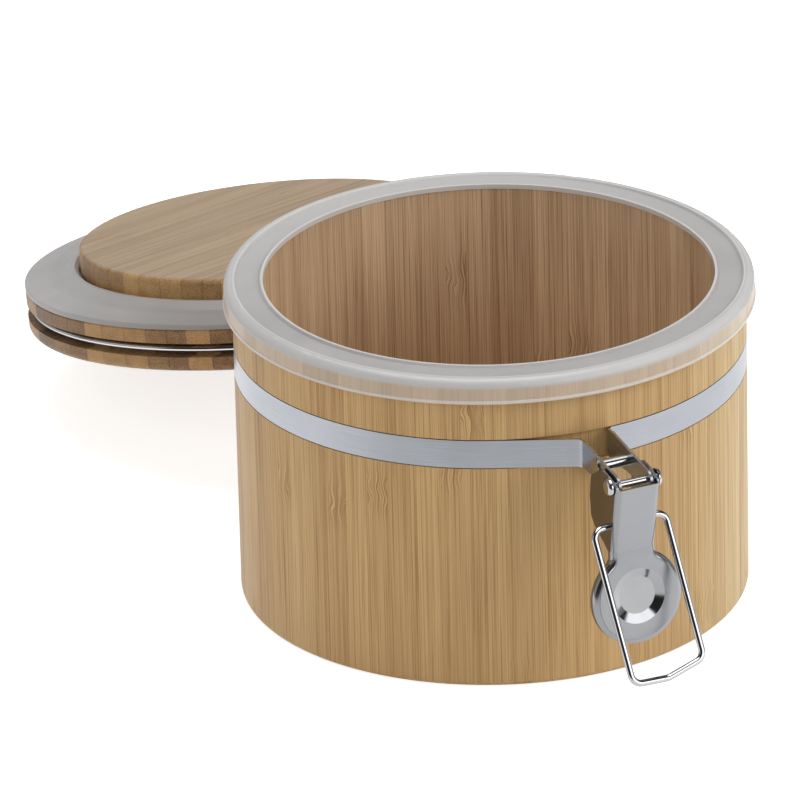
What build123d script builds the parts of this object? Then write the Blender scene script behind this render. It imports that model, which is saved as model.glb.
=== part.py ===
from build123d import *
from math import acos, asin, atan2, cos, degrees, radians, sin, sqrt, tan
import os

os.makedirs("parts", exist_ok=True)

# Bamboo storage jar with a frosted collar, a steel strap with an over-centre clamp, and a hinged lid.
# Millimetres, +Z up, origin in the middle of the base. The clamp faces -Y and the hinge faces +Y.
# The lid is drawn open, hanging behind the jar, and its sizes are written as if it lay closed.

# Wall of glued staves, turned round
jar_radius = 75.0
wall_thickness = 8.7
wall_height = 96.1
stave_count = 24
foot_round = 1.6
mouth_round = 0.5

# Base disc, let into a rebate of the staves
base_thickness = 7.0
rebate_width = 2.6
glue_gap = 0.05

# Steel strap in its groove
strap_thickness = 0.8
strap_width = 8.5
strap_height = 69.3
groove_play = 0.3

# Collar over the top of the wall
collar_flange = 1.5
collar_lip = 0.4
collar_skirt_wall = 2.4
collar_skirt_drop = 5.95
collar_shoulder = 2.4
collar_ledge = 0.8
collar_ridge = 3.1
collar_recess = 0.6
collar_bead = 0.3
collar_bead_height = 1.2

# Clamp ears, turned out of the two ends of the strap
clamp_offset = -4.0
ear_offset = -4.15
ear_gap = 9.1
ear_bend = 1.6
left_ear_bend = 2.8
ear_end_radius = 2.7
ear_standoff = 3.8
spacer_reach = 13.3
spacer_diameter = 3.5
spacer_wall = 0.5
spacer_rise = 3.9
rivet_head_diameter = 4.7
rivet_head_height = 0.5

# Lever: sheet channel, neck and round thumb plate
pivot_reach = 25.2
pin_diameter = 2.4
pin_head_diameter = 5.2
pin_head_height = 1.2
pin_head_round = 1.1
pin_side_play = 0.4
running_gap = 0.05
lever_width = 13.8
lever_sheet = 0.8
lever_bend = 1.7
plate_gap = 0.7
neck_drop = 20.8
neck_step = 0.46
cheek_reach = 13.6
cheek_back_shares = [
    (0.147, -0.108),
    (0.471, -0.142),
    (0.926, 0.064),
    (1.0, 0.372),
    (0.956, 0.68),
    (0.779, 0.795),
    (0.287, 0.972),
]
cheek_nose_out = 3.0
cheek_nose_rise = 0.8
cheek_round = 1.6
thumb_radius = 14.0
thumb_tilt = 6.0
thumb_rim = 3.0
thumb_offset = 0.6
neck_round = 3.0
neck_length = 1.0
ring_outer = 8.2
ring_inner = 5.6
ring_depth = 1.2
ring_above_centre = 0.5

# Bail: sprung wire loop in the cheeks of the lever
bail_wire = 2.0
bail_half_width = 11.5
bail_left_leg = 45.0
bail_right_leg = 43.0
bail_bow_drop = 1.9
bail_bow_out = 1.2
bail_corner = 3.0
bail_bow_radius = 5.0
bail_tail = 1.2
bail_pivot_in = 2.8
bail_pivot_drop = 13.4
bail_lean = 27.0
bail_sway = 3.0

# Hinge bracket riveted to the back of the strap
hinge_standoff = 4.1
hinge_rise = 8.99
bracket_sheet = 1.0
bracket_width = 26.0
bracket_foot_drop = 0.8
bracket_ear_radius = 3.0
bracket_rivet_diameter = 3.0
bracket_rivet_head = 4.2
bracket_rivet_dome = 0.9
bracket_rivet_spacing = 12.0

# Lid, measured with the lid closed
lid_rest_gap = 0.5
lid_overhang = 2.0
lid_thickness = 13.3
lid_top_round = 2.3
lid_edge_round = 0.6
lid_groove_width = 4.2
lid_groove_depth = 3.4
lid_groove_inset = 4.7
seat_gap = 0.2
seal_land = 3.0
seal_edge = 1.6
seal_slope = 7.5
seal_mouth_gap = 0.5
seal_lip_drop = 1.9
seal_lip_taper = 3.0
seal_lip_width = 2.4
seal_gutter_floor = 1.6
seal_edge_round = 0.5
plug_clearance = 6.5
plug_drop = 5.9
plug_round = 1.5

# Wire hoop in the lid's groove, with two arms that turn in as hinge pins
hoop_wire = 2.0
hoop_arm_offset = 18.0
hoop_bend = 2.5
hoop_arm_bend = 2.0
hoop_pin_past = 1.5

overrun = 2.0

# Worked out from the sizes above
mouth_radius = jar_radius - wall_thickness
groove_floor = jar_radius - strap_thickness - glue_gap
groove_bottom = strap_height - groove_play
groove_top = strap_height + strap_width + groove_play
base_radius = mouth_radius + rebate_width - glue_gap
stave_angle = 360 / stave_count

collar_mouth = mouth_radius - collar_lip
collar_outer = jar_radius + collar_skirt_wall
collar_under = wall_height + glue_gap
collar_top = wall_height + collar_flange
collar_bottom = wall_height - collar_skirt_drop

pivot_y = -(jar_radius + pivot_reach)
pivot_z = strap_height + ear_end_radius
right_ear = ear_offset + (ear_gap + strap_thickness) / 2
left_ear = ear_offset - (ear_gap + strap_thickness) / 2
strap_line = jar_radius - strap_thickness / 2
strap_inner = jar_radius - strap_thickness
ear_outer_half = ear_gap / 2 + strap_thickness
lever_half = lever_width / 2
lever_inner_half = lever_half - lever_sheet
spacer_y = -(jar_radius + spacer_reach)
spacer_z = strap_height + spacer_rise

hinge_reach = jar_radius + hinge_standoff
hinge_height = strap_height + hinge_rise
lid_radius = jar_radius + lid_overhang
plug_radius = collar_mouth - plug_clearance
seal_z = collar_top + seat_gap
lid_z = seal_z + seal_land
lid_top = lid_z + lid_thickness
lid_groove_high = lid_top - lid_groove_inset
lid_groove_low = lid_groove_high - lid_groove_width
hoop_z = (lid_groove_high + lid_groove_low) / 2
hoop_radius = lid_radius - lid_groove_depth + glue_gap + hoop_wire / 2

# The lid swings over until its rounded top edge comes to rest just behind the wall
swing_reach = lid_radius - lid_top_round - hinge_reach
swing_rise = lid_top - lid_top_round - hinge_height
rest_reach = jar_radius + lid_rest_gap + lid_top_round - hinge_reach
swing = atan2(swing_rise, swing_reach) + acos(rest_reach / sqrt(swing_reach**2 + swing_rise**2))

# Planes of the open lid: its profile, and its own horizontal plane at closed height zero
lid_ahead = Vector(0, cos(swing), -sin(swing))
lid_up = Vector(0, sin(swing), cos(swing))
lid_origin = Vector(0, hinge_reach, hinge_height) - lid_ahead * hinge_reach - lid_up * hinge_height
lid_profile = Plane(origin=lid_origin, x_dir=lid_ahead, z_dir=(1, 0, 0))
lid_flat = Plane(origin=lid_origin, x_dir=(1, 0, 0), z_dir=lid_up)
lid_axis = Axis(lid_origin, lid_up)

# Staves: one section of the wall, turned through one stave each
for stave_number in range(stave_count):
    stave_turn = radians(stave_number * stave_angle)
    stave_plane = Plane(
        origin=(0, 0, 0),
        x_dir=(cos(stave_turn), sin(stave_turn), 0),
        z_dir=(sin(stave_turn), -cos(stave_turn), 0),
    )
    with BuildPart() as stave:
        with BuildSketch(stave_plane) as wall_section:
            with BuildLine():
                Polyline(
                    (mouth_radius + rebate_width, 0),
                    (jar_radius, 0),
                    (jar_radius, groove_bottom),
                    (groove_floor, groove_bottom),
                    (groove_floor, groove_top),
                    (jar_radius, groove_top),
                    (jar_radius, wall_height),
                    (mouth_radius, wall_height),
                    (mouth_radius, base_thickness + glue_gap),
                    (mouth_radius + rebate_width, base_thickness + glue_gap),
                    close=True,
                )
            make_face()
            foot = wall_section.vertices().group_by(Axis.Y)[0].sort_by(Axis.X)[-1]
            fillet(foot, radius=foot_round)
            rim = wall_section.vertices().group_by(Axis.Y)[-1]
            fillet(rim, radius=mouth_round)
        revolve(axis=Axis.Z, revolution_arc=stave_angle)
    stave.part.label = f"stave_{stave_number + 1:02d}"
    export_step(stave.part, f"parts/stave_{stave_number + 1:02d}.step")

# Base disc, flush with the foot of the staves
with BuildPart() as jar_bottom:
    with BuildSketch():
        Circle(base_radius)
    extrude(amount=base_thickness)
jar_bottom.part.label = "jar_bottom"
export_step(jar_bottom.part, "parts/jar_bottom.step")

# Collar: flange over the wall with a shallow channel in its top, shoulder, skirt and lower bead
with BuildPart() as rim_collar:
    with BuildSketch(Plane.XZ) as collar_section:
        with BuildLine():
            Polyline(
                (collar_mouth, collar_under),
                (collar_mouth, collar_top),
                (collar_mouth + collar_ledge, collar_top),
                (collar_mouth + collar_ledge + collar_recess, collar_top - collar_recess),
                (collar_outer - collar_ridge - collar_recess, collar_top - collar_recess),
                (collar_outer - collar_ridge, collar_top),
                (collar_outer, collar_top),
                (collar_outer, collar_bottom + collar_bead_height),
                (collar_outer + collar_bead, collar_bottom + collar_bead_height - collar_bead),
                (collar_outer + collar_bead, collar_bottom + collar_bead),
                (collar_outer, collar_bottom),
                (jar_radius + glue_gap, collar_bottom),
                (jar_radius + glue_gap, collar_under),
                close=True,
            )
        make_face()
        collar_corners = collar_section.vertices().group_by(Axis.Y)[-1].sort_by(Axis.X)
        fillet(collar_corners[-1], radius=collar_shoulder)
        fillet(collar_corners[0], radius=mouth_round)
    revolve(axis=Axis.Z)
rim_collar.part.label = "rim_collar"
export_step(rim_collar.part, "parts/rim_collar.step")

# Strap: snug round the wall from the right ear, then straight off the wall to the left ear
right_bend_y = -sqrt((strap_line + ear_bend) ** 2 - (right_ear + ear_bend) ** 2)
right_bend_turn = degrees(atan2(-right_bend_y, -(right_ear + ear_bend)))
left_root = strap_line + ear_standoff
left_root_far = sqrt(left_ear**2 + left_root**2)
leave_turn = atan2(-left_ear, left_root) + asin(sqrt(1 - (strap_line / left_root_far) ** 2))
wrap_start = degrees(atan2(right_bend_y, right_ear + ear_bend))
wrap_size = 270 - degrees(leave_turn) - wrap_start
ear_tip = pivot_y - ear_end_radius - overrun
ear_run = -left_root - pivot_y
ear_climb = strap_height + strap_width - pivot_z
ear_slope = atan2(ear_climb, ear_run) - asin(ear_end_radius / sqrt(ear_run**2 + ear_climb**2))
with BuildPart() as strap:
    with BuildSketch(Plane.XY.offset(strap_height)):
        with BuildLine():
            Line((right_ear, ear_tip), (right_ear, right_bend_y))
            CenterArc((right_ear + ear_bend, right_bend_y), ear_bend, 180, right_bend_turn - 180)
            wrap = CenterArc((0, 0), strap_line, wrap_start, wrap_size)
            FilletPolyline(wrap @ 1, (left_ear, -left_root), (left_ear, ear_tip), radius=left_ear_bend)
        trace(line_width=strap_thickness)
    extrude(amount=strap_width)
    # Side outline of the ears, rounded about the lever's pivot
    with BuildSketch(Plane.YZ):
        with BuildLine():
            Polyline(
                (pivot_y, strap_height),
                (jar_radius + overrun, strap_height),
                (jar_radius + overrun, strap_height + strap_width),
                (-left_root, strap_height + strap_width),
                (pivot_y - ear_end_radius * sin(ear_slope), pivot_z + ear_end_radius * cos(ear_slope)),
            )
            CenterArc((pivot_y, pivot_z), ear_end_radius, 90 + degrees(ear_slope), 180 - degrees(ear_slope))
        make_face()
    extrude(amount=jar_radius + overrun, both=True, mode=Mode.INTERSECT)
    with BuildSketch(Plane.YZ.offset(clamp_offset)):
        with Locations((pivot_y, pivot_z)):
            Circle(pin_diameter / 2 + running_gap)
        with Locations((spacer_y, spacer_z)):
            Circle(spacer_diameter / 2 - spacer_wall)
    extrude(amount=ear_outer_half + overrun, both=True, mode=Mode.SUBTRACT)
    with BuildSketch(Plane.XZ.offset(-jar_radius)):
        with Locations((0, strap_height + strap_width / 2)):
            with GridLocations(bracket_rivet_spacing, 0, 2, 1):
                Circle(bracket_rivet_diameter / 2 + glue_gap)
    extrude(amount=strap_thickness + overrun, both=True, mode=Mode.SUBTRACT)
strap.part.label = "strap"
export_step(strap.part, "parts/strap.step")

# Spacer tube between the ears
with BuildPart() as strap_spacer:
    with BuildSketch(Plane.YZ.offset(ear_offset)):
        with Locations((spacer_y, spacer_z)):
            Circle(spacer_diameter / 2)
            Circle(spacer_diameter / 2 - spacer_wall, mode=Mode.SUBTRACT)
    extrude(amount=ear_gap / 2, both=True)
strap_spacer.part.label = "strap_spacer"
export_step(strap_spacer.part, "parts/strap_spacer.step")

# Flat-headed rivet through the ears and the spacer
with BuildPart() as spacer_rivet:
    with BuildSketch(Plane.YZ.offset(ear_offset)):
        with Locations((spacer_y, spacer_z)):
            Circle(spacer_diameter / 2 - spacer_wall - glue_gap)
    extrude(amount=ear_outer_half + rivet_head_height, both=True)
    with BuildSketch(Plane.YZ.offset(ear_offset + ear_outer_half)):
        with Locations((spacer_y, spacer_z)):
            Circle(rivet_head_diameter / 2)
    extrude(amount=rivet_head_height)
    with BuildSketch(Plane.YZ.offset(ear_offset - ear_outer_half)):
        with Locations((spacer_y, spacer_z)):
            Circle(rivet_head_diameter / 2)
    extrude(amount=-rivet_head_height)
    head_rims = spacer_rivet.edges().filter_by(GeomType.CIRCLE).sort_by(Axis.X)
    chamfer([head_rims[0], head_rims[-1]], length=rivet_head_height / 3)
spacer_rivet.part.label = "spacer_rivet"
export_step(spacer_rivet.part, "parts/spacer_rivet.step")

# Lever pin with a head outside each cheek
pin_shoulder = lever_half + pin_side_play
with BuildPart() as lever_pin:
    with BuildSketch(Plane.YZ.offset(clamp_offset)):
        with Locations((pivot_y, pivot_z)):
            Circle(pin_diameter / 2)
    extrude(amount=pin_shoulder + pin_head_height, both=True)
    with BuildSketch(Plane.YZ.offset(clamp_offset + pin_shoulder)):
        with Locations((pivot_y, pivot_z)):
            Circle(pin_head_diameter / 2)
    extrude(amount=pin_head_height)
    with BuildSketch(Plane.YZ.offset(clamp_offset - pin_shoulder)):
        with Locations((pivot_y, pivot_z)):
            Circle(pin_head_diameter / 2)
    extrude(amount=-pin_head_height)
    pin_rims = lever_pin.edges().filter_by(GeomType.CIRCLE).sort_by(Axis.X)
    fillet([pin_rims[0], pin_rims[-1]], radius=pin_head_round)
lever_pin.part.label = "lever_pin"
export_step(lever_pin.part, "parts/lever_pin.step")

# Lever: cheeks and front plate from one folded outline, then the rimmed thumb plate
plate_back = pivot_y - ear_end_radius - plate_gap
plate_front = plate_back - lever_sheet
neck_z = pivot_z - neck_drop
neck_front = pivot_y - neck_step
cheek_back = [
    (pivot_y + out_share * cheek_reach, pivot_z - drop_share * neck_drop)
    for out_share, drop_share in cheek_back_shares
]
bail_y = pivot_y + bail_pivot_in
bail_z = pivot_z - bail_pivot_drop
bail_along = Vector(cos(radians(bail_sway)), 0, sin(radians(bail_sway)))
bail_hang = Vector(0, -sin(radians(bail_lean)), -cos(radians(bail_lean)))
bail_out = bail_along.cross(bail_hang).normalized()
thumb_turn = radians(thumb_tilt)
thumb_drop = sqrt((thumb_radius + neck_round) ** 2 - (lever_half + neck_round) ** 2) + neck_length
thumb_back = Vector(0, cos(thumb_turn), -sin(thumb_turn))
thumb_down = Vector(0, -sin(thumb_turn), -cos(thumb_turn))
neck_point = Vector(clamp_offset, neck_front, neck_z)
thumb_centre = neck_point + thumb_down * thumb_drop
ring_centre = thumb_centre + Vector(thumb_offset, 0, 0) - thumb_down * ring_above_centre
thumb_face = Plane(origin=thumb_centre, x_dir=(1, 0, 0), z_dir=thumb_back)
ring_profile = Plane(origin=ring_centre, x_dir=(1, 0, 0), z_dir=Vector(1, 0, 0).cross(thumb_back))
rim_end = neck_point + thumb_back * thumb_rim
neck_inner = neck_point + thumb_back * lever_sheet
with BuildPart() as lever:
    with BuildSketch(Plane.YZ.offset(clamp_offset)) as cheek_outline:
        with BuildLine():
            Polyline(
                (neck_front, neck_z),
                (plate_front, pivot_z),
                (pivot_y - cheek_nose_out, pivot_z + cheek_nose_rise),
                *cheek_back,
                (rim_end.Y, rim_end.Z),
                close=True,
            )
        make_face()
        fillet(cheek_outline.vertices().sort_by(Axis.X)[-5:], radius=cheek_round)
    extrude(amount=lever_half, both=True)
    # Thumb plate: a disc that flows into the neck
    with BuildSketch(thumb_face) as thumb_outline:
        with Locations((thumb_offset, 0)):
            Circle(thumb_radius)
        with Locations((0, -thumb_drop / 2)):
            Rectangle(lever_width, thumb_drop)
        fillet(thumb_outline.vertices().sort_by(Axis.Y)[2:4], radius=neck_round)
    extrude(amount=thumb_rim)
    front_edges = lever.edges().filter_by(
        lambda edge: max(abs((edge @ 0).Y - plate_front), abs((edge @ 1).Y - neck_front)) < glue_gap
        or max(abs((edge @ 1).Y - plate_front), abs((edge @ 0).Y - neck_front)) < glue_gap
        or abs((edge @ 0.5 - thumb_centre).dot(thumb_back)) < glue_gap
        and (edge @ 0.5 - neck_point).dot(thumb_down) > glue_gap
    )
    fillet(front_edges, radius=lever_bend)
    # Hollow behind the front plate, open at the back and over the plate's top edge
    with BuildSketch(Plane.YZ.offset(clamp_offset)):
        with BuildLine():
            Polyline(
                (neck_inner.Y, neck_inner.Z),
                (plate_back, pivot_z),
                (plate_front - overrun, pivot_z),
                (plate_front - overrun, pivot_z + cheek_reach),
                (pivot_y + cheek_reach + overrun, pivot_z + cheek_reach),
                (pivot_y + cheek_reach + overrun, rim_end.Z - overrun),
                (rim_end.Y, rim_end.Z),
                close=True,
            )
        make_face()
    extrude(amount=lever_inner_half, both=True, mode=Mode.SUBTRACT)
    # Hollow behind the thumb plate, inside its rim
    with BuildSketch(thumb_face.offset(lever_sheet)) as thumb_hollow:
        with Locations((thumb_offset, 0)):
            Circle(thumb_radius - lever_sheet)
        with Locations((0, -thumb_drop / 2)):
            Rectangle(2 * lever_inner_half, thumb_drop)
        fillet(thumb_hollow.vertices().sort_by(Axis.Y)[2:4], radius=neck_round + lever_sheet)
    extrude(amount=thumb_rim, mode=Mode.SUBTRACT)
    # Ring pressed into the thumb plate round a flat centre
    with BuildSketch(ring_profile):
        with BuildLine():
            Polyline(
                (0, lever_sheet),
                (ring_outer, lever_sheet),
                (ring_inner, lever_sheet + ring_depth),
                (0, lever_sheet + ring_depth),
                close=True,
            )
        make_face()
    revolve(axis=Axis(ring_centre, thumb_back))
    with BuildSketch(ring_profile):
        with BuildLine():
            Polyline((0, 0), (ring_outer, 0), (ring_inner, ring_depth), (0, ring_depth), close=True)
        make_face()
    revolve(axis=Axis(ring_centre, thumb_back), mode=Mode.SUBTRACT)
    with BuildSketch(Plane.YZ.offset(clamp_offset)):
        with Locations((pivot_y, pivot_z)):
            Circle(pin_diameter / 2 + running_gap)
    extrude(amount=lever_half + overrun, both=True, mode=Mode.SUBTRACT)
    with BuildSketch(Plane(origin=(clamp_offset, bail_y, bail_z), z_dir=bail_along)):
        Circle(bail_wire / 2 + running_gap)
    extrude(amount=lever_half + overrun, both=True, mode=Mode.SUBTRACT)
lever.part.label = "lever"
export_step(lever.part, "parts/lever.step")

# Bail: tails in the cheeks, two legs and a bowed end bar
bail_plane = Plane(
    origin=(clamp_offset, bail_y, bail_z),
    x_dir=bail_along,
    z_dir=bail_out,
)
bail_tail_end = lever_inner_half - bail_tail
with BuildPart() as bail:
    with BuildLine(bail_plane):
        bail_path = FilletPolyline(
            (bail_tail_end, 0, 0),
            (bail_half_width, 0, 0),
            (bail_half_width, bail_right_leg, 0),
            (0, (bail_left_leg + bail_right_leg) / 2 + bail_bow_drop, bail_bow_out),
            (-bail_half_width, bail_left_leg, 0),
            (-bail_half_width, 0, 0),
            (-bail_tail_end, 0, 0),
            radius=[bail_corner, bail_corner, bail_bow_radius, bail_corner, bail_corner],
        )
    with BuildSketch(Plane(origin=bail_path @ 0, z_dir=bail_path % 0)):
        Circle(bail_wire / 2)
    sweep(path=bail_path)
bail.part.label = "bail"
export_step(bail.part, "parts/bail.step")

# Hinge bracket: curved foot on the strap and two ears round the hinge axis
bracket_inner = jar_radius + glue_gap
bracket_outer = bracket_inner + bracket_sheet
bracket_half = bracket_width / 2
bracket_low = strap_height - bracket_foot_drop
bracket_high = hinge_height + bracket_ear_radius
ear_seat = sqrt((bracket_inner + bracket_sheet / 2) ** 2 - bracket_half**2)
with BuildPart() as hinge_bracket:
    with BuildSketch(Plane.XY.offset(bracket_low)):
        Circle(bracket_outer)
        Circle(bracket_inner, mode=Mode.SUBTRACT)
        with Locations((0, jar_radius)):
            Rectangle(bracket_width, 2 * jar_radius, mode=Mode.INTERSECT)
    extrude(amount=bracket_high - bracket_low)
    with BuildSketch(Plane.YZ.offset(bracket_half)):
        with BuildLine():
            Polyline(
                (hinge_reach, hinge_height + bracket_ear_radius),
                (ear_seat, hinge_height + bracket_ear_radius),
                (ear_seat, hinge_height - bracket_ear_radius),
                (hinge_reach, hinge_height - bracket_ear_radius),
            )
            CenterArc((hinge_reach, hinge_height), bracket_ear_radius, -90, 180)
        make_face()
        with Locations((hinge_reach, hinge_height)):
            Circle(hoop_wire / 2 + running_gap, mode=Mode.SUBTRACT)
    extrude(amount=-bracket_sheet)
    mirror(about=Plane.YZ)
    with BuildSketch(Plane.XZ.offset(-jar_radius)):
        with Locations((0, strap_height + strap_width / 2)):
            with GridLocations(bracket_rivet_spacing, 0, 2, 1):
                Circle(bracket_rivet_diameter / 2 + glue_gap)
    extrude(amount=bracket_sheet + overrun, both=True, mode=Mode.SUBTRACT)
hinge_bracket.part.label = "hinge_bracket"
export_step(hinge_bracket.part, "parts/hinge_bracket.step")

# Two rivets through the bracket and the strap
with BuildPart() as bracket_rivets:
    with BuildSketch(Plane.XZ.offset(-strap_inner)):
        with Locations((0, strap_height + strap_width / 2)):
            with GridLocations(bracket_rivet_spacing, 0, 2, 1):
                Circle(bracket_rivet_diameter / 2)
    extrude(amount=-(bracket_outer - strap_inner))
    with BuildSketch(Plane.XZ.offset(-bracket_outer)):
        with Locations((0, strap_height + strap_width / 2)):
            with GridLocations(bracket_rivet_spacing, 0, 2, 1):
                Circle(bracket_rivet_head / 2)
    extrude(amount=-bracket_rivet_dome)
    dome_rims = bracket_rivets.edges().filter_by(GeomType.CIRCLE).group_by(Axis.Y)[-1]
    fillet(dome_rims, radius=bracket_rivet_dome * 2 / 3)
bracket_rivets.part.label = "bracket_rivets"
export_step(bracket_rivets.part, "parts/bracket_rivets.step")

# Lid disc, with the hoop's groove round its edge
with BuildPart() as lid_disc:
    with BuildSketch(lid_profile) as disc_section:
        with BuildLine():
            Polyline(
                (0, lid_z),
                (lid_radius, lid_z),
                (lid_radius, lid_groove_low),
                (lid_radius - lid_groove_depth, lid_groove_low),
                (lid_radius - lid_groove_depth, lid_groove_high),
                (lid_radius, lid_groove_high),
                (lid_radius, lid_top),
                (0, lid_top),
                close=True,
            )
        make_face()
        top_corner = disc_section.vertices().group_by(Axis.Y)[-1].sort_by(Axis.X)[-1]
        fillet(top_corner, radius=lid_top_round)
        low_corner = disc_section.vertices().group_by(Axis.Y)[0].sort_by(Axis.X)[-1]
        fillet(low_corner, radius=lid_edge_round)
    revolve(axis=lid_axis)
lid_disc.part.label = "lid_disc"
export_step(lid_disc.part, "parts/lid_disc.step")

# Plug that enters the mouth
with BuildPart() as lid_plug:
    with BuildSketch(lid_profile) as plug_section:
        with BuildLine():
            Polyline(
                (0, seal_z - seal_lip_drop - plug_drop),
                (plug_radius, seal_z - seal_lip_drop - plug_drop),
                (plug_radius, lid_z),
                (0, lid_z),
                close=True,
            )
        make_face()
        plug_corner = plug_section.vertices().group_by(Axis.Y)[0].sort_by(Axis.X)[-1]
        fillet(plug_corner, radius=plug_round)
    revolve(axis=lid_axis)
lid_plug.part.label = "lid_plug"
export_step(lid_plug.part, "parts/lid_plug.step")

# Seal: flat land on the collar, lip inside the mouth and a gutter beside the plug
lip_outer = collar_mouth - seal_mouth_gap
lip_crest = lip_outer - seal_lip_taper
with BuildPart() as lid_seal:
    with BuildSketch(lid_profile) as seal_section:
        with BuildLine():
            Polyline(
                (lid_radius, lid_z),
                (lid_radius, lid_z - seal_edge),
                (lid_radius - seal_slope, seal_z),
                (lip_outer, seal_z),
                (lip_crest, seal_z - seal_lip_drop),
                (lip_crest - seal_lip_width / 2, seal_z - seal_lip_drop),
                (lip_crest - seal_lip_width, seal_z - seal_lip_drop + seal_lip_width / 2),
                (lip_crest - seal_lip_width, lid_z - seal_gutter_floor),
                (plug_radius + glue_gap, lid_z - seal_gutter_floor),
                (plug_radius + glue_gap, lid_z),
                close=True,
            )
        make_face()
        seal_corner = seal_section.vertices().group_by(Axis.X)[-1].sort_by(Axis.Y)[0]
        fillet(seal_corner, radius=seal_edge_round)
    revolve(axis=lid_axis)
lid_seal.part.label = "lid_seal"
export_step(lid_seal.part, "parts/lid_seal.step")

# Hoop: round the groove, out past the collar, down to the hinge axis and in as two pins
arm_line_turn = atan2(hoop_arm_offset, hinge_reach)
bend_centre = hoop_radius + hoop_bend
arm_turn = arm_line_turn + asin(hoop_bend / bend_centre)
arm_line_start = sqrt(bend_centre**2 - hoop_bend**2)
pin_end = bracket_half - bracket_sheet - hoop_pin_past
with BuildPart() as lid_hoop:
    with BuildLine(lid_flat.offset(hoop_z)) as hoop_path:
        right_bend = CenterArc(
            (bend_centre * sin(arm_turn), bend_centre * cos(arm_turn)),
            hoop_bend,
            180 - degrees(arm_line_turn),
            90 - degrees(arm_turn - arm_line_turn),
        )
        CenterArc(
            (0, 0),
            hoop_radius,
            90 + degrees(arm_turn),
            360 - 2 * degrees(arm_turn),
        )
        left_bend = CenterArc(
            (-bend_centre * sin(arm_turn), bend_centre * cos(arm_turn)),
            hoop_bend,
            degrees(arm_line_turn),
            degrees(arm_turn - arm_line_turn) - 90,
        )
        FilletPolyline(
            (pin_end, hinge_reach, hinge_height - hoop_z),
            (hoop_arm_offset, hinge_reach, hinge_height - hoop_z),
            (hoop_arm_offset, hinge_reach, 0),
            (arm_line_start * sin(arm_line_turn), arm_line_start * cos(arm_line_turn), 0),
            radius=[hoop_arm_bend, hoop_arm_bend],
        )
        FilletPolyline(
            (-pin_end, hinge_reach, hinge_height - hoop_z),
            (-hoop_arm_offset, hinge_reach, hinge_height - hoop_z),
            (-hoop_arm_offset, hinge_reach, 0),
            (-arm_line_start * sin(arm_line_turn), arm_line_start * cos(arm_line_turn), 0),
            radius=[hoop_arm_bend, hoop_arm_bend],
        )
    hoop_wire_path = hoop_path.wires()[0]
    with BuildSketch(Plane(origin=hoop_wire_path @ 0, z_dir=hoop_wire_path % 0)):
        Circle(hoop_wire / 2)
    sweep(path=hoop_wire_path)
lid_hoop.part.label = "lid_hoop"
export_step(lid_hoop.part, "parts/lid_hoop.step")
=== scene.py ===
import math

import bpy
from mathutils import Matrix, Vector

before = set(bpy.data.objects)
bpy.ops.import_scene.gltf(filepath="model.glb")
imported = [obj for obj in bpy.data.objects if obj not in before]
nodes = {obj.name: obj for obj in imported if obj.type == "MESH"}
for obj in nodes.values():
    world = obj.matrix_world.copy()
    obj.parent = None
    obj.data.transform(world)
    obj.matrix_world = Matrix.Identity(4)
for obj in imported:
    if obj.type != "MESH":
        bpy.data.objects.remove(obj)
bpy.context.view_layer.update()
scene = bpy.context.scene
scene.view_settings.view_transform = "Standard"


# Camera: a long lens above the table, looking down at the clamp side from its left.
# Turn is the angle from straight in front of the jar; the rest is the photographer's stand.
turn = math.radians(25.5)
stand_off = 2.4033
stand_height = 1.1399
pan = math.radians(-0.638)
tilt = math.radians(24.246)
roll = math.radians(1.424)
focal_px = 8993.4
frame_px = 800
sensor_mm = 36
far_clip = 20

ahead = Vector((math.sin(pan) * math.cos(tilt), math.cos(pan) * math.cos(tilt), -math.sin(tilt)))
across = Vector((math.cos(pan), -math.sin(pan), 0))
down = -across.cross(ahead)
image_x = across * math.cos(roll) + down * math.sin(roll)
image_y = down * math.cos(roll) - across * math.sin(roll)
to_jar = Matrix.Rotation(-turn, 3, "Z")
camera_data = bpy.data.cameras.new("camera")
camera_data.sensor_width = sensor_mm
camera_data.lens = focal_px * sensor_mm / frame_px
camera_data.clip_end = far_clip
camera = bpy.data.objects.new("camera", camera_data)
scene.collection.objects.link(camera)
axes = [to_jar @ image_x, to_jar @ -image_y, to_jar @ -ahead]
camera_place = to_jar @ Vector((0, -stand_off, stand_height))
camera_rows = [[axis[row] for axis in axes] + [camera_place[row]] for row in range(3)]
camera.matrix_world = Matrix(camera_rows + [[0, 0, 0, 1]])
scene.camera = camera


# Studio: a white table that runs out of view, a big soft lamp on the right, a weaker one on the
# left and one overhead. Nothing mirrors the two side lamps. The metal shows the lamp overhead, a
# table that fades out with distance, and a dim room with tall white panels in it.
def add_node(tree, kind, settings=None, **values):
    node = tree.nodes.new(kind)
    for name, value in (settings or {}).items():
        setattr(node, name, value)
    for name, value in values.items():
        numbered = name[0] == "i" and name[1:].isdigit()
        socket = node.inputs[int(name[1:]) if numbered else name.replace("_", " ")]
        if isinstance(value, bpy.types.NodeSocket):
            tree.links.new(value, socket)
        else:
            socket.default_value = value
    return node


def new_material(name):
    material = bpy.data.materials.new(name)
    material.use_nodes = True
    material.node_tree.nodes.clear()
    return material, material.node_tree


def give_material(material, *names):
    for name in names:
        for slot in nodes[name].material_slots:
            slot.material = material


def maths(tree, operation, a, b=0.0, clamp=False):
    settings = {"operation": operation, "use_clamp": clamp}
    return add_node(tree, "ShaderNodeMath", settings, i0=a, i1=b).outputs[0]


def times(tree, a, b):
    return maths(tree, "MULTIPLY", a, b)


def plus(tree, a, b):
    return maths(tree, "ADD", a, b)


def minus(tree, a, b):
    return maths(tree, "SUBTRACT", a, b)


def most(tree, a, b):
    return maths(tree, "MAXIMUM", a, b)


def apart(tree, a, b):
    return maths(tree, "ABSOLUTE", minus(tree, a, b))


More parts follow.
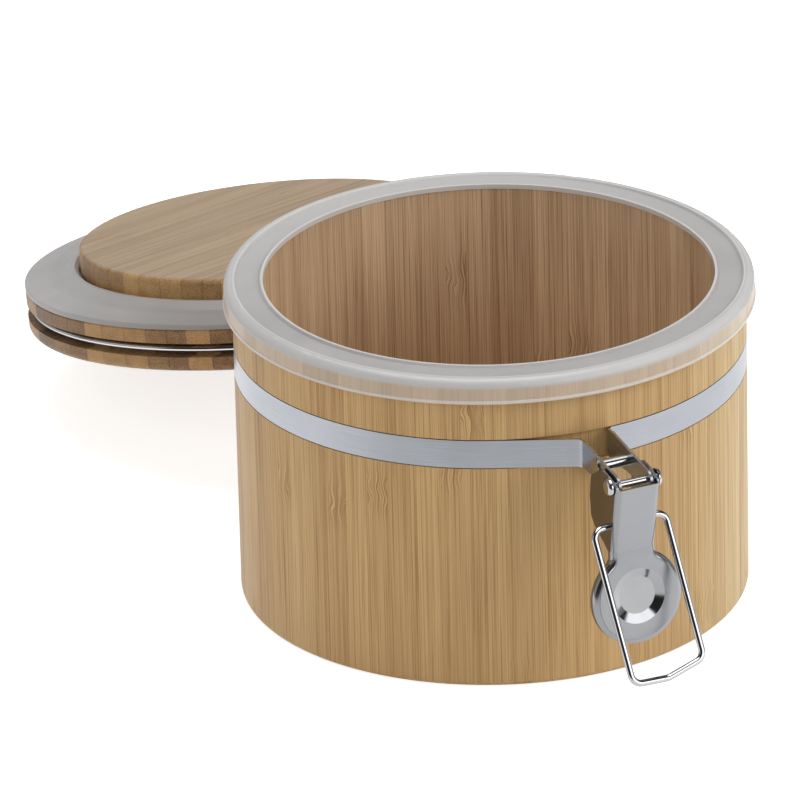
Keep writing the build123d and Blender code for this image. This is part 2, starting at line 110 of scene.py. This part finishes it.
def ramp(tree, value, low=0.0, high=1.0, start=0.0, end=1.0, shape="LINEAR"):
    node = add_node(
        tree,
        "ShaderNodeMapRange",
        {"interpolation_type": shape},
        Value=value,
        From_Min=low,
        From_Max=high,
        To_Min=start,
        To_Max=end,
    )
    return node.outputs[0]


def vector_maths(tree, operation, a, b=(0, 0, 0)):
    node = add_node(tree, "ShaderNodeVectorMath", {"operation": operation}, i0=a, i1=b)
    return node.outputs["Value" if operation in ("LENGTH", "DISTANCE") else "Vector"]


def mix_colour(tree, factor, a, b):
    return add_node(tree, "ShaderNodeMix", {"data_type": "RGBA"}, i0=factor, i6=a, i7=b).outputs[2]


def mix_shader(tree, factor, a, b):
    return add_node(tree, "ShaderNodeMixShader", i0=factor, i1=a.outputs[0], i2=b.outputs[0])


def noise(tree, vector, **values):
    return add_node(tree, "ShaderNodeTexNoise", Vector=vector, **values).outputs["Fac"]


def on_object(tree):
    return add_node(tree, "ShaderNodeTexCoord").outputs["Object"]


def split_xyz(tree, vector):
    return add_node(tree, "ShaderNodeSeparateXYZ", Vector=vector).outputs


# The angle round the jar's axis, 0 at the front of the jar and growing to its right
def angle_round(tree, xyz):
    return maths(tree, "ARCTAN2", xyz["X"], times(tree, xyz["Y"], -1.0))


def from_axis(tree, xyz):
    flat = add_node(tree, "ShaderNodeCombineXYZ", X=xyz["X"], Y=xyz["Y"])
    return vector_maths(tree, "LENGTH", flat.outputs[0])


white = (1, 1, 1, 1)
table_half = 4
table_mesh = bpy.data.meshes.new("table")
corners = [(-1, -1), (1, -1), (1, 1), (-1, 1)]
table_points = [(x * table_half, y * table_half, 0) for x, y in corners]
table_mesh.from_pydata(table_points, [], [(0, 1, 2, 3)])
table = bpy.data.objects.new("table", table_mesh)
scene.collection.objects.link(table)
table_material, tree = new_material("white table")
light_path = add_node(tree, "ShaderNodeLightPath").outputs
table_seen = most(tree, light_path["Is Camera Ray"], light_path["Is Transmission Ray"])
table_place = on_object(tree)
table_away = vector_maths(tree, "LENGTH", table_place)
table_fade = ramp(tree, table_away, low=0.28, high=0.65, start=1.0, end=0.1)
dim_side = math.radians(-30)
from_dim_side = apart(tree, angle_round(tree, split_xyz(tree, table_place)), dim_side)
table_side = ramp(tree, from_dim_side, low=math.radians(22), high=math.radians(66), start=0.9, end=1.3)
glow_strength = 0.7
table_diffuse = add_node(tree, "ShaderNodeBsdfDiffuse", Color=(0.8, 0.8, 0.8, 1))
table_glow_seen = times(tree, table_seen, glow_strength)
table_glow = add_node(tree, "ShaderNodeEmission", Color=white, Strength=table_glow_seen)
table_lit = add_node(tree, "ShaderNodeAddShader", i0=table_diffuse.outputs[0], i1=table_glow.outputs[0])
table_strength = times(tree, table_fade, table_side)
table_mirrored = add_node(tree, "ShaderNodeEmission", Color=white, Strength=table_strength)
table_mix = mix_shader(tree, light_path["Is Glossy Ray"], table_lit, table_mirrored)
add_node(tree, "ShaderNodeOutputMaterial", Surface=table_mix.outputs[0])
table_mesh.materials.append(table_material)

room = bpy.data.worlds.new("room")
scene.world = room
room.use_nodes = True
tree = room.node_tree
tree.nodes.clear()
light_path = add_node(tree, "ShaderNodeLightPath").outputs
room_xyz = split_xyz(tree, add_node(tree, "ShaderNodeTexCoord").outputs["Generated"])
room_turn = angle_round(tree, room_xyz)


def white_panel(middle, half, soft, strength):
    away = apart(tree, room_turn, math.radians(middle))
    edge = math.radians(half)
    outside = math.radians(half + soft)
    return ramp(tree, away, low=edge, high=outside, start=strength, end=0.0)


front_panel = white_panel(middle=25, half=27, soft=5, strength=2.0)
right_panel = white_panel(middle=90, half=14, soft=8, strength=0.45)
left_panel = white_panel(middle=-108, half=18, soft=8, strength=0.45)
room_round = maths(tree, "ABSOLUTE", room_turn)
back_wall = ramp(tree, room_round, low=math.radians(130), high=math.radians(145), end=0.65)
panels = most(tree, most(tree, most(tree, front_panel, right_panel), left_panel), back_wall)
panel_foot = ramp(tree, room_xyz["Z"], low=-0.05, high=0.06, start=0.15, end=1.0)
panel_top = ramp(tree, room_xyz["Z"], low=0.52, high=0.6, start=1.0, end=0.0)
panels = times(tree, panels, times(tree, panel_foot, panel_top))
ceiling = ramp(tree, room_xyz["Z"], low=0.84, high=0.92, end=1.5)
dim_room = 0.03
room_strength = plus(tree, most(tree, panels, ceiling), dim_room)
room_plain = add_node(tree, "ShaderNodeBackground", Color=white, Strength=0.4)
room_mirrored = add_node(tree, "ShaderNodeBackground", Color=(0.97, 0.98, 1.0, 1), Strength=room_strength)
room_white = add_node(tree, "ShaderNodeBackground", Color=white, Strength=1.0)
room_mix = mix_shader(tree, light_path["Is Glossy Ray"], room_plain, room_mirrored)
room_seen = mix_shader(tree, light_path["Is Camera Ray"], room_mix, room_white)
add_node(tree, "ShaderNodeOutputWorld", Surface=room_seen.outputs[0])


def add_lamp(name, place, size, watts, mirrored):
    lamp_aim = Vector((0, 0.03, 0.05))
    lamp_data = bpy.data.lights.new(name, "AREA")
    lamp_data.size = size
    lamp_data.energy = watts
    lamp = bpy.data.objects.new(name, lamp_data)
    lamp.location = place
    lamp.rotation_euler = (lamp_aim - Vector(place)).to_track_quat("-Z", "Y").to_euler()
    lamp.visible_glossy = mirrored
    scene.collection.objects.link(lamp)


add_lamp("soft_box_left", place=(-1.7, -1.0, 1.3), size=1.3, watts=9.5, mirrored=False)
add_lamp("soft_box_right", place=(1.6, -1.0, 1.1), size=1.3, watts=22, mirrored=False)
add_lamp("soft_box_over", place=(0.1, 0.4, 2.2), size=1.4, watts=14.5, mirrored=True)


# Staves and base: strips of split bamboo glued side by side, turned round and clear lacquered.
# The grain runs up the wall in fine dark fibres, and each strip has its own shade.
# Painted light: the wall's colour is paler on its right side, where more light falls, and the inside has
# paler colours of its own to lift the shade there.
mm_per_m = 1000.0
wood_relief = 0.00004


def new_group(name, inputs):
    group = bpy.data.node_groups.new(name, "ShaderNodeTree")
    for label, kind, value in inputs:
        socket = group.interface.new_socket(label, in_out="INPUT", socket_type=kind)
        socket.default_value = value
    group.interface.new_socket("Color", in_out="OUTPUT", socket_type="NodeSocketColor")
    group.interface.new_socket("Roughness", in_out="OUTPUT", socket_type="NodeSocketFloat")
    group.interface.new_socket("Height", in_out="OUTPUT", socket_type="NodeSocketFloat")
    return group, group.nodes.new("NodeGroupInput").outputs


def close_group(group, colour, roughness, height):
    out = group.nodes.new("NodeGroupOutput").inputs
    group.links.new(colour, out["Color"])
    group.links.new(roughness, out["Roughness"])
    group.links.new(height, out["Height"])


def make_bamboo_group():
    group, given = new_group(
        "bamboo_strips",
        [
            ("Across", "NodeSocketFloat", 0.0),
            ("Along", "NodeSocketFloat", 0.0),
            ("Through", "NodeSocketFloat", 0.0),
            ("Strip Width", "NodeSocketFloat", 6.0),
            ("Light", "NodeSocketColor", (0.6, 0.4, 0.2, 1)),
            ("Deep", "NodeSocketColor", (0.3, 0.16, 0.06, 1)),
            ("Fibre", "NodeSocketFloat", 0.5),
            ("Strip Contrast", "NodeSocketFloat", 0.5),
            ("Seam", "NodeSocketFloat", 0.3),
            ("Joint", "NodeSocketFloat", 0.0),
            ("Joint Place", "NodeSocketFloat", 0.0),
            ("Depth", "NodeSocketFloat", 0.12),
        ],
    )
    strip_place = maths(group, "DIVIDE", given["Across"], given["Strip Width"])

    def strips(feature):
        settings = {"voronoi_dimensions": "1D", "feature": feature}
        return add_node(
            group, "ShaderNodeTexVoronoi", settings, W=strip_place, Scale=1.0, Randomness=0.8
        ).outputs

    shade = add_node(group, "ShaderNodeSeparateColor", Color=strips("F1")["Color"]).outputs
    seam_away = strips("DISTANCE_TO_EDGE")["Distance"]
    seam_line = ramp(group, seam_away, low=0.0, high=0.045, start=1.0, end=0.0)

    # A cane's joint crosses a strip about every 260 mm, and the fibres wander there
    joint_spacing = 260.0
    joint_wander = 4.5
    curl_across = 0.24
    curl_along = 0.11
    joint_along = maths(group, "DIVIDE", minus(group, given["Along"], given["Joint Place"]), joint_spacing)
    joint_cycle = maths(group, "FRACT", plus(group, joint_along, shade["Blue"]))
    joint_away = times(group, apart(group, joint_cycle, 0.5), joint_spacing)
    joint_near = ramp(group, joint_away, low=1.0, high=11.0, start=1.0, end=0.0, shape="SMOOTHSTEP")
    joint_near = times(group, joint_near, given["Joint"])
    curl_place = add_node(
        group,
        "ShaderNodeCombineXYZ",
        X=times(group, given["Across"], curl_across),
        Y=times(group, given["Along"], curl_along),
        Z=given["Through"],
    )
    curl = noise(group, curl_place.outputs[0], Scale=1.0, Detail=1.0)
    wander = times(group, minus(group, curl, 0.5), times(group, joint_near, joint_wander))
    across = plus(group, given["Across"], wander)

    def fibres(across_scale, along_scale, seed, detail):
        deep = times(group, given["Through"], across_scale)
        fibre_place = add_node(
            group,
            "ShaderNodeCombineXYZ",
            X=times(group, across, across_scale),
            Y=times(group, given["Along"], along_scale),
            Z=plus(group, deep, times(group, shade["Red"], seed)),
        )
        return noise(group, fibre_place.outputs[0], Scale=1.0, Detail=detail, Roughness=0.55)

    # Dark streaks first, then how light or deep each strip is between them
    fine_share = 0.55
    fleck_share = 0.6
    joint_share = 0.9
    broad_share = 0.6
    pale_share = 0.14
    fine = ramp(group, fibres(3.1, 0.012, seed=60.0, detail=3.0), low=0.42, high=0.68)
    flecks = ramp(group, fibres(4.8, 0.022, seed=130.0, detail=2.0), low=0.54, high=0.68)
    pale = ramp(group, fibres(1.9, 0.012, seed=170.0, detail=2.0), low=0.5, high=0.75)
    broad = fibres(0.28, 0.004, seed=90.0, detail=2.0)
    streaks = plus(group, times(group, fine, fine_share), times(group, flecks, fleck_share))
    streaks = times(group, streaks, plus(group, 1.0, times(group, joint_near, joint_share)))
    streaks = times(group, streaks, given["Fibre"])
    tone = times(group, minus(group, shade["Green"], 0.5), given["Strip Contrast"])
    tone = plus(group, tone, times(group, minus(group, broad, 0.5), broad_share))
    tone = minus(group, tone, times(group, plus(group, pale, joint_near), pale_share))
    depth = plus(group, plus(group, streaks, tone), times(group, seam_line, given["Seam"]))
    depth = maths(group, "ADD", depth, given["Depth"], clamp=True)
    colour = mix_colour(group, depth, given["Light"], given["Deep"])
    roughness = ramp(group, streaks, start=0.42, end=0.6)
    close_group(group, colour, roughness, minus(group, 1.0, streaks))
    return group


def place_group(tree, group, **values):
    return add_node(tree, "ShaderNodeGroup", {"node_tree": group}, **values).outputs


def finish_material(tree, height=None, relief=0.0, **values):
    shader = add_node(tree, "ShaderNodeBsdfPrincipled", **values)
    if height is not None:
        bump = add_node(tree, "ShaderNodeBump", Height=height, Strength=1.0, Distance=relief)
        tree.links.new(bump.outputs[0], shader.inputs["Normal"])
    add_node(tree, "ShaderNodeOutputMaterial", Surface=shader.outputs[0])


def finish_wood(tree, grain):
    finish_material(
        tree,
        grain["Height"],
        wood_relief,
        Base_Color=grain["Color"],
        Roughness=grain["Roughness"],
    )


# Painted light: a mask by angle round the jar that makes the right side paler, where more light falls.
def painted_light_side(tree, round_turn):
    painted_light_turn = 0.45
    swing = maths(tree, "SINE", minus(tree, round_turn, painted_light_turn))
    return ramp(tree, swing, low=-0.3, high=0.5)


bamboo_strips = make_bamboo_group()
wall_radius_mm = 75.0
wall_strip_width = 7.0
wall_material, tree = new_material("turned bamboo wall")
wall_xyz = split_xyz(tree, on_object(tree))
wall_turn = angle_round(tree, wall_xyz)
wall_out = times(tree, from_axis(tree, wall_xyz), mm_per_m)
# Painted light: the inside of the wall gets paler colours of its own, lifting the shade inside the jar.
wall_inside_painted_light = ramp(tree, wall_out, low=68.0, high=72.0, start=1.0, end=0.0)
# The pale grain colour is mixed towards a paler one on the right side: painted light.
wall_light = mix_colour(tree, painted_light_side(tree, wall_turn), (0.70, 0.455, 0.195, 1), (0.745, 0.575, 0.295, 1))
wall_grain = place_group(
    tree,
    bamboo_strips,
    Across=times(tree, wall_turn, wall_radius_mm),
    Along=times(tree, wall_xyz["Z"], mm_per_m),
    Through=wall_out,
    Strip_Width=wall_strip_width,
    Light=mix_colour(tree, wall_inside_painted_light, wall_light, (0.75, 0.55, 0.35, 1)),
    Deep=mix_colour(tree, wall_inside_painted_light, (0.41, 0.215, 0.07, 1), (0.34, 0.20, 0.105, 1)),
    Fibre=1.1,
    Strip_Contrast=0.35,
    Seam=0.22,
    Joint=1.0,
    Joint_Place=40.0,
)
finish_wood(tree, wall_grain)
give_material(wall_material, *[name for name in nodes if name.startswith("stave_")])

base_material, tree = new_material("bamboo base disc")
base_xyz = split_xyz(tree, on_object(tree))
base_grain = place_group(
    tree,
    bamboo_strips,
    Across=times(tree, base_xyz["X"], mm_per_m),
    Along=times(tree, base_xyz["Y"], mm_per_m),
    Through=times(tree, base_xyz["Z"], mm_per_m),
    Strip_Width=9.0,
    Light=(0.56, 0.36, 0.17, 1),
    Deep=(0.26, 0.145, 0.06, 1),
    Fibre=0.7,
    Strip_Contrast=0.4,
    Seam=0.3,
    Joint=1.0,
)
finish_wood(tree, base_grain)
give_material(base_material, "jar_bottom")


# Collar: a moulded cap of frosted, milky plastic pressed over the top of the wall.
# Its skirt is painted as wood seen through it, paler on the right side as painted light. Its inner
# edge, outer ridge and lower bead carry painted highlights in thin pale lines. The milk has painted
# light too: paler at the back, for light shining through from behind, and on the outer shoulder, a painted
# sheen.
collar_material, tree = new_material("frosted collar")
collar_place = on_object(tree)
collar_xyz = split_xyz(tree, collar_place)
collar_turn = angle_round(tree, collar_xyz)
collar_out = from_axis(tree, collar_xyz)
collar_wood = place_group(
    tree,
    bamboo_strips,
    Across=times(tree, collar_turn, wall_radius_mm),
    Along=times(tree, collar_xyz["Z"], mm_per_m),
    Through=wall_radius_mm,
    Strip_Width=wall_strip_width,
    # Painted light: the skirt's wood is paler on the jar's right side, as on the wall.
    Light=mix_colour(tree, painted_light_side(tree, collar_turn), (0.64, 0.505, 0.37, 1), (0.71, 0.60, 0.45, 1)),
    Deep=(0.42, 0.31, 0.22, 1),
    Fibre=0.45,
    Strip_Contrast=0.35,
    Seam=0.22,
)


def collar_band(low, high, soft):
    rise = ramp(tree, collar_xyz["Z"], low=low - soft, high=low)
    fall = ramp(tree, collar_xyz["Z"], low=high, high=high + soft, start=1.0, end=0.0)
    return times(tree, rise, fall)


def collar_ring(middle, half, soft):
    return ramp(tree, apart(tree, collar_out, middle), low=half, high=half + soft, start=1.0, end=0.0)


collar_top = ramp(tree, collar_xyz["Z"], low=0.0946, high=0.0956)
collar_cloud = noise(tree, collar_place, Scale=60.0, Detail=3.0)
collar_milk_and_painted_light = mix_colour(tree, collar_cloud, (0.37, 0.36, 0.355, 1), (0.50, 0.49, 0.48, 1))
# Painted light: the milk is paler towards the back, for light shining through from behind.
collar_painted_backlight = ramp(tree, collar_xyz["Y"], low=0.0, high=0.07, end=0.75)
collar_milk_and_painted_light = mix_colour(tree, collar_painted_backlight, collar_milk_and_painted_light, (0.58, 0.57, 0.56, 1))
# Painted sheen: the outer shoulder of the cap is made paler.
collar_painted_sheen = ramp(tree, collar_out, low=0.0747, high=0.0755, end=0.8)
collar_milk_and_painted_light = mix_colour(tree, collar_painted_sheen, collar_milk_and_painted_light, (0.64, 0.63, 0.62, 1))
collar_colour = mix_colour(tree, collar_top, collar_wood["Color"], collar_milk_and_painted_light)
# Painted highlights: thin pale lines on the outer ridge, the inner edge and the lower bead.
ridge_painted_highlight = times(tree, collar_ring(middle=0.0745, half=0.0001, soft=0.0005), collar_top)
inner_edge_painted_highlight = collar_ring(middle=0.0661, half=0.0003, soft=0.0004)
bead_painted_highlight = collar_band(low=0.0905, high=0.0912, soft=0.0002)
highlight_strength = 0.55
collar_relief = 0.00002
collar_painted_highlights = times(tree, most(tree, most(tree, ridge_painted_highlight, inner_edge_painted_highlight), bead_painted_highlight), highlight_strength)
finish_material(
    tree,
    noise(tree, collar_place, Scale=900.0, Detail=2.0),
    collar_relief,
    Base_Color=mix_colour(tree, collar_painted_highlights, collar_colour, (0.80, 0.79, 0.77, 1)),
    Roughness=0.32,
    IOR=1.49,
    Subsurface_Weight=0.15,
    Subsurface_Radius=(0.004, 0.004, 0.003),
    Subsurface_Scale=0.4,
)
give_material(collar_material, "rim_collar")


# Strap, hinge bracket: rolled strip steel, cool grey, with faint lines along its length.
# The strap's two ends are turned out as ears for the clamp.
def make_steel_group():
    group, given = new_group(
        "steel_wear",
        [
            ("Vector", "NodeSocketVector", (0, 0, 0)),
            ("Base", "NodeSocketColor", (0.6, 0.6, 0.6, 1)),
            ("Stretch", "NodeSocketVector", (1, 1, 1)),
            ("Smooth", "NodeSocketFloat", 0.15),
            ("Rough", "NodeSocketFloat", 0.3),
        ],
    )
    drawn = vector_maths(group, "MULTIPLY", given["Vector"], given["Stretch"])
    line_share = 0.6
    smudge_share = 0.4
    lines = noise(group, drawn, Scale=1.0, Detail=3.0, Roughness=0.6)
    smudge = noise(group, given["Vector"], Scale=90.0, Detail=3.0)
    wear = plus(group, times(group, lines, line_share), times(group, smudge, smudge_share))
    roughness = ramp(group, wear, low=0.3, high=0.7, start=given["Smooth"], end=given["Rough"])
    shade = ramp(group, wear, low=0.3, high=0.7, end=0.12)
    colour = mix_colour(group, shade, given["Base"], (0.25, 0.25, 0.26, 1))
    close_group(group, colour, roughness, lines)
    return group


# Edge is how much of the bright rim stays where metal is seen at a low angle
def finish_steel(tree, wear, relief, edge):
    finish_material(
        tree,
        wear["Height"],
        relief,
        Base_Color=wear["Color"],
        Metallic=1.0,
        Roughness=wear["Roughness"],
        Specular_Tint=(edge, edge, edge, 1),
    )


def make_steel(name, base, stretch, smooth, rough, relief, edge):
    material, tree = new_material(name)
    wear = place_group(
        tree, steel_wear, Vector=on_object(tree), Base=base, Stretch=stretch, Smooth=smooth, Rough=rough
    )
    finish_steel(tree, wear, relief, edge)
    return material


steel_wear = make_steel_group()
strap_material = make_steel(
    "rolled strip steel",
    base=(0.45, 0.47, 0.505, 1),
    stretch=(60, 60, 2500),
    smooth=0.24,
    rough=0.36,
    relief=0.000004,
    edge=1.0,
)
give_material(strap_material, "strap", "hinge_bracket")


# Spacer, rivets and lever pin: turned steel, bright, with a smoother finish than the sheet.
# They hold the ears apart and carry the lever.
turned_material = make_steel(
    "bright turned steel",
    base=(0.68, 0.68, 0.69, 1),
    stretch=(900, 120, 120),
    smooth=0.08,
    rough=0.14,
    relief=0.0000005,
    edge=0.6,
)
give_material(turned_material, "strap_spacer", "spacer_rivet", "lever_pin", "bracket_rivets")


# Lever: pressed sheet steel, satin on its flat front; its two cheeks are painted darker, a painted shade
# for the dark wall they mirror.
# The pressing leaves a smooth ring and a small flat disc in the middle of the thumb plate; both are painted
# paler, a painted sheen.
lever_middle_x = -0.004
lever_neck_z = 0.0512
ring_centre = (-0.0034, -0.10216, 0.03696)
ring_inside = 0.0056
ring_middle = 0.0069
lever_material, tree = new_material("satin pressed steel")
lever_place = on_object(tree)
lever_xyz = split_xyz(tree, lever_place)
ring_away = vector_maths(tree, "DISTANCE", lever_place, ring_centre)
from_ring = apart(tree, ring_away, ring_middle)
ring_smooth_and_painted_sheen = ramp(tree, from_ring, low=0.0013, high=0.0015, start=1.0, end=0.0)
disc_painted_sheen = maths(tree, "LESS_THAN", ring_away, ring_inside)
on_side = ramp(tree, apart(tree, lever_xyz["X"], lever_middle_x), low=0.0066, high=0.00685)
# Painted shade: the cheeks get a darker base colour, for the shaded wall they mirror.
cheek_painted_shade = times(tree, on_side, maths(tree, "GREATER_THAN", lever_xyz["Z"], lever_neck_z))
lever_base = mix_colour(tree, cheek_painted_shade, (0.405, 0.41, 0.425, 1), (0.30, 0.285, 0.27, 1))
# Painted sheen: the disc and the ring get paler base colours; the ring is also really smoother.
lever_base = mix_colour(tree, disc_painted_sheen, lever_base, (0.49, 0.495, 0.50, 1))
lever_base = mix_colour(tree, ring_smooth_and_painted_sheen, lever_base, (0.45, 0.455, 0.465, 1))
lever_wear = place_group(
    tree,
    steel_wear,
    Vector=lever_place,
    Base=lever_base,
    Stretch=(160, 160, 160),
    Smooth=ramp(tree, ring_smooth_and_painted_sheen, start=0.19, end=0.07),
    Rough=ramp(tree, ring_smooth_and_painted_sheen, start=0.24, end=0.1),
)
finish_steel(tree, lever_wear, relief=0.000001, edge=0.7)
give_material(lever_material, "lever")


# Bail and hoop: drawn and polished steel wire. The bail springs into the lever's cheeks.
# The hoop lies in the lid's groove and ends in the hinge pins.
wire_material = make_steel(
    "polished wire",
    base=(0.68, 0.68, 0.69, 1),
    stretch=(120, 120, 120),
    smooth=0.06,
    rough=0.12,
    relief=0.0000003,
    edge=0.45,
)
give_material(wire_material, "bail", "lid_hoop")


# Lid disc and plug: boards of darker glued bamboo, cut round. Their faces show long grain,
# and their edges show it end on where the strips are cut across. The grain is laid out on the
# closed lid, so the open one is turned back by the hinge's swing first.
lid_swing = math.radians(189.7)
hinge_place = (0, 0.0791, 0.07829)
strip_turn = math.radians(111.5)
groove_middle_mm = 107.3
# Painted shade in the lid's groove: how much darker its colour is made.
groove_painted_shade = 0.45


def lid_material(name, strip_width, rim_mm, face, rim):
    material, tree = new_material(name)
    level = add_node(
        tree,
        "ShaderNodeVectorRotate",
        {"rotation_type": "X_AXIS"},
        Vector=on_object(tree),
        Center=hinge_place,
        Angle=lid_swing,
    )
    turned = add_node(
        tree,
        "ShaderNodeVectorRotate",
        {"rotation_type": "Z_AXIS"},
        Vector=level.outputs[0],
        Angle=strip_turn,
    )
    xyz = split_xyz(tree, turned.outputs[0])
    across = times(tree, xyz["X"], mm_per_m)
    along = times(tree, xyz["Y"], mm_per_m)
    through = times(tree, xyz["Z"], mm_per_m)
    flat = vector_maths(tree, "MULTIPLY", level.outputs[0], (mm_per_m, mm_per_m, 0))
    out = vector_maths(tree, "LENGTH", flat)
    on_rim = ramp(tree, out, low=rim_mm - 1.4, high=rim_mm - 0.7)
    # The groove takes the rim's end-grain colours and is darkened further, a painted shadow in it.
    groove_grain_and_painted_shade = ramp(tree, apart(tree, through, groove_middle_mm), low=2.0, high=2.2, start=1.0, end=0.0)
    on_rim = most(tree, on_rim, groove_grain_and_painted_shade)
    depth = ramp(tree, on_rim, start=0.12, end=0.3)
    grain = place_group(
        tree,
        bamboo_strips,
        Across=across,
        Along=along,
        Through=through,
        Strip_Width=strip_width,
        Light=mix_colour(tree, on_rim, face["light"], rim["light"]),
        Deep=mix_colour(tree, on_rim, face["deep"], rim["deep"]),
        Fibre=0.75,
        Strip_Contrast=ramp(tree, on_rim, start=face["contrast"], end=rim["contrast"]),
        Seam=0.3,
        Joint=0.6,
        Depth=plus(tree, depth, times(tree, groove_grain_and_painted_shade, groove_painted_shade)),
    )
    finish_wood(tree, grain)
    return material


plug_face = {"light": (0.52, 0.38, 0.235, 1), "deep": (0.25, 0.155, 0.09, 1), "contrast": 0.45}
plug_rim = {"light": (0.56, 0.33, 0.125, 1), "deep": (0.19, 0.09, 0.03, 1), "contrast": 0.8}
plug_material = lid_material("bamboo plug", strip_width=7.0, rim_mm=59.8, face=plug_face, rim=plug_rim)
give_material(plug_material, "lid_plug")
disc_face = {"light": (0.50, 0.35, 0.19, 1), "deep": (0.20, 0.115, 0.055, 1), "contrast": 0.8}
disc_rim = {"light": (0.53, 0.30, 0.118, 1), "deep": (0.105, 0.048, 0.017, 1), "contrast": 1.3}
disc_material = lid_material("bamboo lid", strip_width=7.5, rim_mm=77.0, face=disc_face, rim=disc_rim)
give_material(disc_material, "lid_disc")


# Seal: a soft ring of the same frosted plastic as the collar, with a flat land and a low lip.
# It lies round the plug and closes on the collar. Painted light makes the part away from the jar paler.
seal_material, tree = new_material("frosted seal")
seal_place = on_object(tree)
seal_cloud = noise(tree, seal_place, Scale=35.0, Detail=3.0)
# Painted light: the seal's colours are paler on the part farthest from the jar.
seal_painted_light_far = ramp(tree, split_xyz(tree, seal_place)["Y"], low=0.105, high=0.16)
seal_dark = mix_colour(tree, seal_painted_light_far, (0.31, 0.292, 0.285, 1), (0.43, 0.418, 0.41, 1))
seal_pale = mix_colour(tree, seal_painted_light_far, (0.44, 0.42, 0.412, 1), (0.61, 0.597, 0.59, 1))
seal_colour = mix_colour(tree, seal_cloud, seal_dark, seal_pale)
finish_material(tree, Base_Color=seal_colour, Roughness=0.45, IOR=1.45)
give_material(seal_material, "lid_seal")
